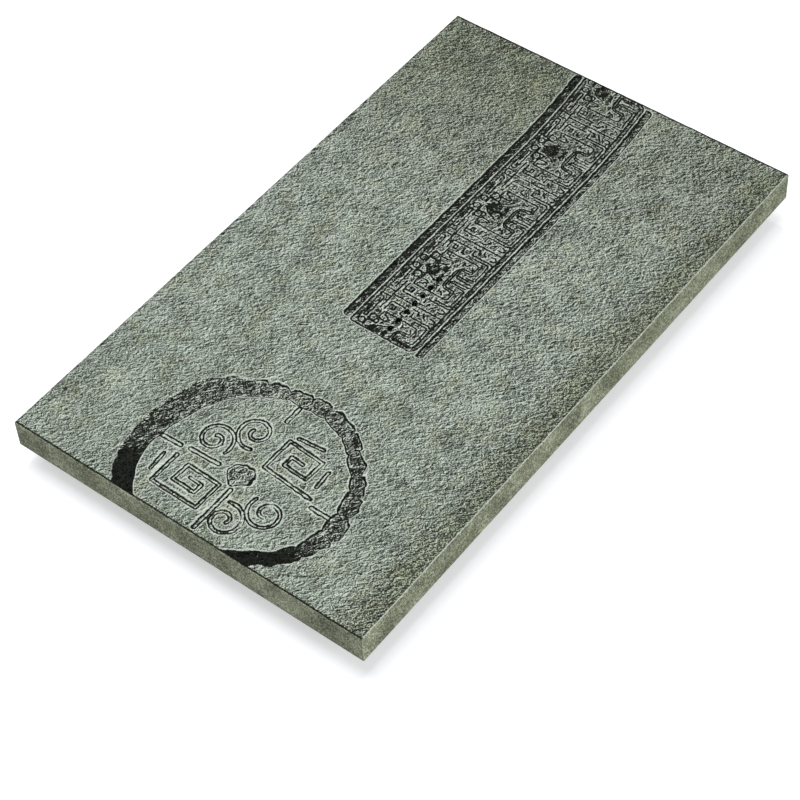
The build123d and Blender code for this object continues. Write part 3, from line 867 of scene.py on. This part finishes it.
class Shader:
    """A material's nodes, each added by one short call."""

    def __init__(self, name):
        self.material = bpy.data.materials.new(name)
        self.material.use_nodes = True
        self.tree = self.material.node_tree
        self.surface = self.tree.nodes["Principled BSDF"]
        self.where = self.add("TexCoord").outputs["Object"]

    def add(self, kind, values=(), **settings):
        """A node of this kind, with its settings and its sockets' values or links."""
        node = self.tree.nodes.new("ShaderNode" + kind)
        for name, value in settings.items():
            setattr(node, name, value)
        for socket, value in dict(values).items():
            self.put(node.inputs[socket], value)
        return node

    def put(self, socket, value):
        """Links a socket to another, or sets its value."""
        if isinstance(value, bpy.types.NodeSocket):
            self.tree.links.new(value, socket)
        else:
            socket.default_value = value

    def noise(self, scale, detail=3, roughness=0.55, distortion=0, where=None):
        """Smooth noise from 0 to 1, of this scale per metre."""
        return self.add("TexNoise", {
            "Vector": where or self.where, "Scale": scale, "Detail": detail,
            "Roughness": roughness, "Distortion": distortion,
        }).outputs["Fac"]

    def attribute(self, name):
        """A number that the mesh holds in each vertex."""
        return self.add("Attribute", attribute_name=name, attribute_type="GEOMETRY").outputs["Fac"]

    def maths(self, operation, first, second=0):
        """The result of an operation on two numbers."""
        return self.add("Math", {0: first, 1: second}, operation=operation).outputs[0]

    def plus(self, first, second):
        """The sum of two numbers."""
        return self.maths("ADD", first, second)

    def minus(self, first, second):
        """The difference of two numbers."""
        return self.maths("SUBTRACT", first, second)

    def times(self, first, second):
        """The product of two numbers."""
        return self.maths("MULTIPLY", first, second)

    def swing(self, value, contrast):
        """How far a number lies from the middle of 0 to 1, times a contrast."""
        return self.times(self.minus(value, 0.5), contrast)

    def scaled(self, value, low, high, new_low=0, new_high=1):
        """A number moved from one range to another, smoothly, and kept within it."""
        return self.add("MapRange", {
            "Value": value, "From Min": low, "From Max": high, "To Min": new_low, "To Max": new_high,
        }, interpolation_type="SMOOTHSTEP").outputs["Result"]

    def colours(self, share, *stops):
        """Colours along a number: each stop is a place and a colour as the screen shows it."""
        node = self.add("ValToRGB", {"Fac": share})
        elements = node.color_ramp.elements
        while len(elements) < len(stops):
            elements.new(0.5)
        for element, (place, colour) in zip(elements, stops):
            element.position = place
            element.color = screen_colour(*colour)
        return node.outputs["Color"]

    def mixed(self, share, first, second, blend="MIX"):
        """Two colours mixed."""
        inputs = {0: share, 6: first, 7: second}
        return self.add("Mix", inputs, data_type="RGBA", blend_type=blend).outputs[2]

    def tinted(self, share, base, tint):
        """A colour multiplied by a tint, as far as share says."""
        return self.mixed(share, base, self.mixed(1, base, screen_colour(*tint), "MULTIPLY"))

    def bumped(self, height, distance, strength=1, under=None):
        """A normal that follows a height, over another bump if there is one."""
        values = {"Height": height, "Distance": distance, "Strength": strength}
        if under:
            values["Normal"] = under
        return self.add("Bump", values).outputs["Normal"]

    def finish(self, colour, roughness, normal=None, **values):
        """Joins the results to the surface."""
        self.put(self.surface.inputs["Base Color"], colour)
        self.put(self.surface.inputs["Roughness"], roughness)
        if normal:
            self.put(self.surface.inputs["Normal"], normal)
        for name, value in values.items():
            self.put(self.surface.inputs[name.replace("_", " ")], value)
        return self.material


def screen_colour(red, green, blue):
    """A colour as a screen shows it, 0 to 255, in linear light."""
    parts = [part / 255 for part in (red, green, blue)]
    linear = [
        part / 12.92 if part <= 0.04045 else ((part + 0.055) / 1.055) ** 2.4 for part in parts
    ]
    return *linear, 1


def grain_place(s, step):
    """A place on the split top, turned and stretched with the grain and moved a step across it. Noise
    read at two places a step apart gives the difference that paints light and shade on the grain's
    slopes.
    """
    return s.add("Mapping", {
        "Vector": s.where, "Location": (0, -step, 0), "Rotation": (0, 0, math.radians(GRAIN_ANGLE)),
        "Scale": (GRAIN_STRETCH, 1, 1),
    }, vector_type="TEXTURE").outputs["Vector"]


def falloff_and_weathering(s, place, drift):
    """How far the split top is darkened, 0 to 1: most at its far end and along its front edge; partly
    weather-worn stone, partly painted shade for the lights' falloff.
    """
    far = s.scaled(s.plus(place["X"], s.times(drift, 0.1)), 0.1, 0.29, 0, 0.75)
    far = s.times(far, s.scaled(place["Y"], -0.06, 0.03, 0.5, 1))
    front = s.scaled(s.plus(place["Y"], s.times(drift, -0.05)), -0.141, -0.17, 0, 0.9)
    return s.maths("MAXIMUM", far, front)


def split_stone():
    """The rough split top: grey-green ripples and worms over dark pits, blacker where carved. Light
    and shade are painted on the grain's slopes and shade in its pits; the carved black is partly dirt
    and partly painted shade.
    """
    s = Shader("split_stone")
    place = s.add("SeparateXYZ", {"Vector": s.where}).outputs
    carved, away = s.attribute("darkness"), s.attribute("cut")
    lie, beside = [grain_place(s, step) for step in (0, GRAIN_STEP)]
    relief, relief_beside = [s.noise(RELIEF_SCALE, 4, 0.72, 0.7, where) for where in (lie, beside)]
    crag, crag_beside = [s.noise(CRAG_SCALE, 3, 0.7, 1.0, where) for where in (lie, beside)]
    worms = s.noise(WORM_SCALE, 2, 0.6, 1.2, lie)
    patches = s.noise(PATCH_SCALE, 3, 0.7, 1.0, lie)
    drift = s.noise(DRIFT_SCALE, 3, 0.5)
    fine = s.noise(FINE_SCALE, 1, 0.6)
    # Painted light and shade: noise read a step apart is differenced, so the slopes of the grain and
    # of the crag noise turn light on one side and dark on the other.
    painted_slope_shade = s.minus(relief, relief_beside)
    painted_crag_shade = s.times(s.minus(crag, crag_beside), CRAG_SHADE_CONTRAST)
    falloff_and_weathered = falloff_and_weathering(s, place, drift)

    tone = s.plus(MEAN_TONE, s.times(painted_slope_shade, SLOPE_SHADE_CONTRAST))
    for noise, swing in ((fine, FINE_CONTRAST), (drift, DRIFT_CONTRAST), (patches, PATCH_CONTRAST)):
        tone = s.plus(tone, s.swing(noise, swing))
    # Painted shade in the low hollows of the bump's relief.
    tone = s.minus(tone, s.scaled(relief, 0.44, 0.34, 0, PIT_SHADE))
    contrast = s.scaled(place["X"], -0.2, 0.14, 0.86, 1.16)
    contrast = s.plus(s.times(falloff_and_weathered, FALLOFF_AND_WEATHERED_CONTRAST), contrast)
    contrast = s.plus(contrast, s.times(carved, CARVED_CONTRAST))
    tone = s.plus(s.swing(tone, contrast), 0.5)
    tone = s.plus(tone, s.times(s.scaled(carved, 0, 0.4), painted_crag_shade))
    # Darker where carved: partly dirt, partly painted shade in the carved hollows.
    tone = s.minus(tone, s.times(carved, CARVED_DARKNESS))
    # The darkening tint: partly weather-worn stone, partly painted shade for the lights' falloff
    # towards the far end and the front edge.
    base = s.tinted(falloff_and_weathered, s.colours(tone, *SPLIT_COLOURS), FALLOFF_AND_WEATHERED_TINT)
    base = s.tinted(s.scaled(s.noise(STAIN_SCALE, 5, 0.7), 0.46, 0.7, 0, 0.6), base, STAIN_TINT)
    dots = s.times(s.scaled(s.noise(DOT_SCALE, 2, 0.5), 0.535, 0.6, 0, 1.2), falloff_and_weathered)
    base = s.mixed(dots, base, screen_colour(*DOT_COLOUR))

    ragged = s.swing(s.noise(FRAY_SCALE, 3, 0.7), FRAY)
    away = s.plus(away, ragged)
    # A painted highlight along the edges of the cut lines.
    pale = s.times(s.scaled(away, 0.36, 0.46), s.scaled(away, 0.85, 0.62, 0, 0.62))
    base = s.mixed(pale, base, screen_colour(*PAINTED_HIGHLIGHT_COLOUR))
    # Random worms plus painted shade on the slopes turned from the light; this darkens the carving's
    # speckling.
    speckle_and_slope_shade = s.minus(s.swing(worms, 1.2), s.times(painted_crag_shade, 0.5))
    speckle_and_slope_shade = s.plus(speckle_and_slope_shade, s.times(s.minus(relief_beside, relief), 1.6))
    # Black in the carving and along the cut lines: partly dirt, partly painted shade in the hollows.
    dark = s.times(s.scaled(s.plus(carved, speckle_and_slope_shade), 0.5, 0.8), s.scaled(carved, 0.03, 0.2))
    black = s.maths("MAXIMUM", dark, s.scaled(away, 0.36, 0.24))
    shaken = s.times(ragged, FRAY_LENGTH)
    # A painted shade line along the top edge of both ends.
    to_end = s.plus(s.minus(HALF_LENGTH, s.maths("ABSOLUTE", place["X"])), shaken)
    black = s.maths("MAXIMUM", black, s.scaled(to_end, 1.9 * MM, 1.3 * MM, 0, 0.95))
    # A painted highlight along the front top edge.
    to_front = s.plus(s.plus(HALF_WIDTH, place["Y"]), shaken)
    front_arris_highlight = s.scaled(to_front, 1.2 * MM, 0.7 * MM, 0, 0.6)
    base = s.mixed(front_arris_highlight, base, screen_colour(*PAINTED_HIGHLIGHT_COLOUR))
    worn = s.scaled(worms, 0.4, 0.62)
    # The black, partly dirt and partly painted shade, is a little lighter where the worms say.
    soot_and_shade = s.mixed(worn, screen_colour(*SOOT_AND_SHADE_COLOUR), screen_colour(*WORN_SOOT_AND_SHADE_COLOUR))
    base = s.mixed(black, base, soot_and_shade)
    height = s.plus(s.times(relief, 0.7), s.times(fine, 0.25))
    shine = s.scaled(black, 0, 1, 0.3, 0.04)
    normal = s.bumped(height, BUMP_HEIGHT)
    return s.finish(base, s.scaled(fine, 0.3, 0.7, 0.72, 0.92), normal, Specular_IOR_Level=shine)


def sawn_stone():
    """The sawn sides and underside: a finer, olive grain with faint saw lines."""
    s = Shader("sawn_stone")
    grain = s.noise(850, 5, 0.8)
    grit = s.noise(2600, 2, 0.6)
    patches = s.noise(45, 3)
    tone = s.plus(s.plus(s.times(grain, 0.6), s.times(patches, 0.14)), s.times(grit, 0.26))
    base = s.colours(tone, *SAWN_COLOURS)
    lines = s.add("TexWave", {
        "Vector": s.where, "Scale": 260, "Distortion": 2.5, "Detail": 2,
    }, wave_type="BANDS", bands_direction="Z").outputs["Fac"]
    normal = s.bumped(grain, 0.0007, 0.9, s.bumped(lines, 0.0001, 0.5))
    return s.finish(base, s.scaled(grain, 0.3, 0.7, 0.7, 0.9), normal, Specular_IOR_Level=0.3)


def metal(name, light, dark, roughness, brush_scale, brushing=(1, 1, 1)):
    """A metal with fine turning or rolling marks and slight stains."""
    s = Shader(name)
    where = s.add("Mapping", {"Vector": s.where, "Scale": brushing}).outputs["Vector"]
    marks = s.noise(brush_scale, 3, 0.6, 0, where)
    stains = s.noise(160, 4, 0.6)
    base = s.colours(stains, (0.35, dark), (0.62, light))
    rough = s.plus(roughness - 0.1, s.times(marks, 0.2))
    return s.finish(base, rough, s.bumped(marks, 0.00003, 0.6), Metallic=1.0)


def rubber(name, colour, lighter):
    """A matt moulded rubber with a fine grain and some dust."""
    s = Shader(name)
    grain = s.noise(2600, 2, 0.5)
    base = s.colours(s.noise(140, 4, 0.65), (0.4, colour), (0.72, lighter))
    return s.finish(base, s.scaled(grain, 0.3, 0.7, 0.72, 0.9), s.bumped(grain, 0.00006, 0.6))


def moulded_plastic(name, colour, lighter):
    """A grey-green moulded plastic with a fine spark-eroded texture."""
    s = Shader(name)
    grain = s.noise(3400, 2, 0.5)
    base = s.colours(s.noise(60, 3, 0.5), (0.35, colour), (0.7, lighter))
    return s.finish(base, s.scaled(grain, 0.3, 0.7, 0.38, 0.52), s.bumped(grain, 0.00004, 0.5))


def dress_nodes():
    """Gives each CAD node that shows its material, and cuts sharp edges out of the shading."""
    steel = metal("zinc_plated_steel", (196, 199, 202), (158, 161, 163), 0.34, 900, (1, 1, 9))
    spring = metal("spring_steel", (120, 121, 122), (84, 84, 84), 0.36, 1200)
    brass = metal("turned_brass", (206, 172, 98), (168, 132, 66), 0.3, 900, (1, 1, 9))
    pad = rubber("pad_rubber", (26, 26, 27), (44, 43, 41))
    seal = rubber("seal_rubber", (36, 36, 36), (52, 51, 49))
    plastic = moulded_plastic("pan_plastic", (52, 57, 54), (66, 71, 67))
    dressed = [
        ("drain_pan", plastic), ("drain_gasket", seal),
        ("drain_screws", steel), ("drain_anchors", brass),
    ]
    for corner in CORNERS:
        dressed += [
            ("foot_pad_" + corner, pad), ("foot_cup_" + corner, steel),
            ("foot_clip_" + corner, spring), ("foot_wheel_" + corner, steel),
            ("foot_insert_" + corner, brass),
        ]
        shown(
            threaded_stud(corner), "screw_" + corner, "screw_steel", steel,
            stands_for=["foot_stud_" + corner],
        ).data.set_sharp_from_angle(angle=math.radians(40))
    for name, material in dressed:
        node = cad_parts[name]
        node.data.materials.clear()
        node.data.materials.append(material)


def floor():
    """A plain pale floor that the camera sees as white where it isn't in shadow."""
    s = Shader("floor")
    seen = s.add("LightPath").outputs["Is Camera Ray"]
    below = s.add("NewGeometry").outputs["Backfacing"]
    bpy.ops.mesh.primitive_plane_add(size=12)
    plane = bpy.context.object
    plane.name = "floor"
    plane.data.materials.append(s.material)
    s.finish(screen_colour(200, 201, 204), 0.9, Specular_IOR_Level=0.0, Alpha=s.minus(1, below))
    s.put(s.surface.inputs["Emission Color"], WHITE)
    away = s.add("VectorMath", {0: s.where}, operation="LENGTH").outputs["Value"]
    s.put(s.surface.inputs["Emission Strength"], s.times(seen, s.scaled(away, 0.5, 2.5, 0.5, 1.3)))


def sky():
    """An even pale light from all round."""
    world = bpy.data.worlds.new("sky")
    bpy.context.scene.world = world
    world.use_nodes = True
    nodes, links = world.node_tree.nodes, world.node_tree.links
    light = nodes["Background"]
    light.inputs["Color"].default_value = SKY_COLOUR
    light.inputs["Strength"].default_value = SKY_STRENGTH
    backdrop = nodes.new("ShaderNodeBackground")
    backdrop.inputs["Color"].default_value = WHITE
    seen = nodes.new("ShaderNodeLightPath")
    choice = nodes.new("ShaderNodeMixShader")
    links.new(seen.outputs["Is Camera Ray"], choice.inputs[0])
    links.new(light.outputs[0], choice.inputs[1])
    links.new(backdrop.outputs[0], choice.inputs[2])
    links.new(choice.outputs[0], nodes["World Output"].inputs["Surface"])


def lamp(name, place, aim, size, power):
    """A square soft light at a place, aimed at another."""
    light = bpy.data.lights.new(name, "AREA")
    light.size = size
    light.energy = power
    holder = bpy.data.objects.new(name, light)
    holder.location = place
    holder.rotation_euler = (Vector(aim) - Vector(place)).to_track_quat("-Z", "Y").to_euler()
    bpy.context.scene.collection.objects.link(holder)


def camera():
    """The camera at the photograph's angle."""
    azimuth, elevation, roll = [math.radians(angle) for angle in CAMERA_ANGLES]
    flat = math.cos(elevation)
    back = Vector((math.sin(azimuth) * flat, -math.cos(azimuth) * flat, math.sin(elevation)))
    level = Vector((math.cos(azimuth), math.sin(azimuth), 0))
    rise = back.cross(level)
    right = math.cos(roll) * level + math.sin(roll) * rise
    up = -math.sin(roll) * level + math.cos(roll) * rise
    place = right * CAMERA_RIGHT + up * CAMERA_UP + back * CAMERA_BACK + Vector((0, 0, TOP))
    lens = bpy.data.cameras.new("camera")
    lens.lens = CAMERA_LENS
    holder = bpy.data.objects.new("camera", lens)
    axes = Matrix((right, up, back)).transposed().to_4x4()
    holder.matrix_world = Matrix.Translation(place) @ axes
    bpy.context.scene.collection.objects.link(holder)
    bpy.context.scene.camera = holder


stone = shown(slab_mesh(), "slab", "stone", split_stone(), sawn_stone(), stands_for=["stone_slab"])
stone.data.set_sharp_from_angle(angle=math.radians(55))
dress_nodes()
floor()
sky()
for row in LAMPS:
    lamp(*row)
camera()
bpy.context.scene.view_settings.view_transform = "Standard"
